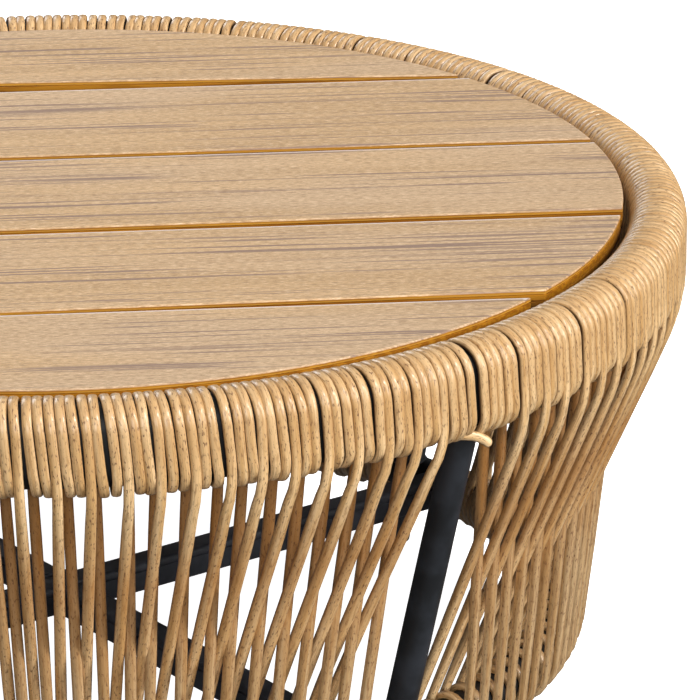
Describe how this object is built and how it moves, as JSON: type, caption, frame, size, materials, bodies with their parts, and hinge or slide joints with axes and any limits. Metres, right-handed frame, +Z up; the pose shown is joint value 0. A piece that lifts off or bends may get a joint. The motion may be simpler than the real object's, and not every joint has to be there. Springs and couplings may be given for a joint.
{
  "type": "coffee table",
  "caption": "Round outdoor coffee table with a slatted top in a cord-wrapped rim, woven cord sides, leaning metal legs and a cross between them.",
  "frame": {"origin": "on the floor under the middle of the table", "axes": "+Z up, +X along the planks, -Y towards the front plank"},
  "size_m": [0.7996, 0.7996, 0.323],
  "materials": {
    "planks": "matt greyish tan oak grain with honey-coloured sides",
    "cord": "satin honey cord with fine brown streaks",
    "frame": "matt near-black powder coat",
    "screws": "zinc plated",
    "glides": "black moulded plastic"
  },
  "bodies": {
    "root": {"plank_1": "planks", "plank_2": "planks", "plank_3": "planks", "plank_4": "planks", "plank_5": "planks", "batten_left": "frame", "batten_right": "frame", "plank_screw_left_1": "screws", "plank_screw_left_2": "screws", "plank_screw_left_3": "screws", "plank_screw_left_4": "screws", "plank_screw_left_5": "screws", "plank_screw_right_1": "screws", "plank_screw_right_2": "screws", "plank_screw_right_3": "screws", "plank_screw_right_4": "screws", "plank_screw_right_5": "screws", "rim_tube": "frame", "lower_ring_tube": "frame", "leg_1": "frame", "leg_2": "frame", "leg_3": "frame", "leg_4": "frame", "top_bar_long": "frame", "top_bar_half_1": "frame", "top_bar_half_2": "frame", "lower_bar_long": "frame", "lower_bar_half_1": "frame", "lower_bar_half_2": "frame", "foot_glide_1": "glides", "foot_glide_2": "glides", "foot_glide_3": "glides", "foot_glide_4": "glides", "winding_1": "cord", "winding_2": "cord", "winding_3": "cord", "winding_4": "cord"}
  },
  "joints": []
}
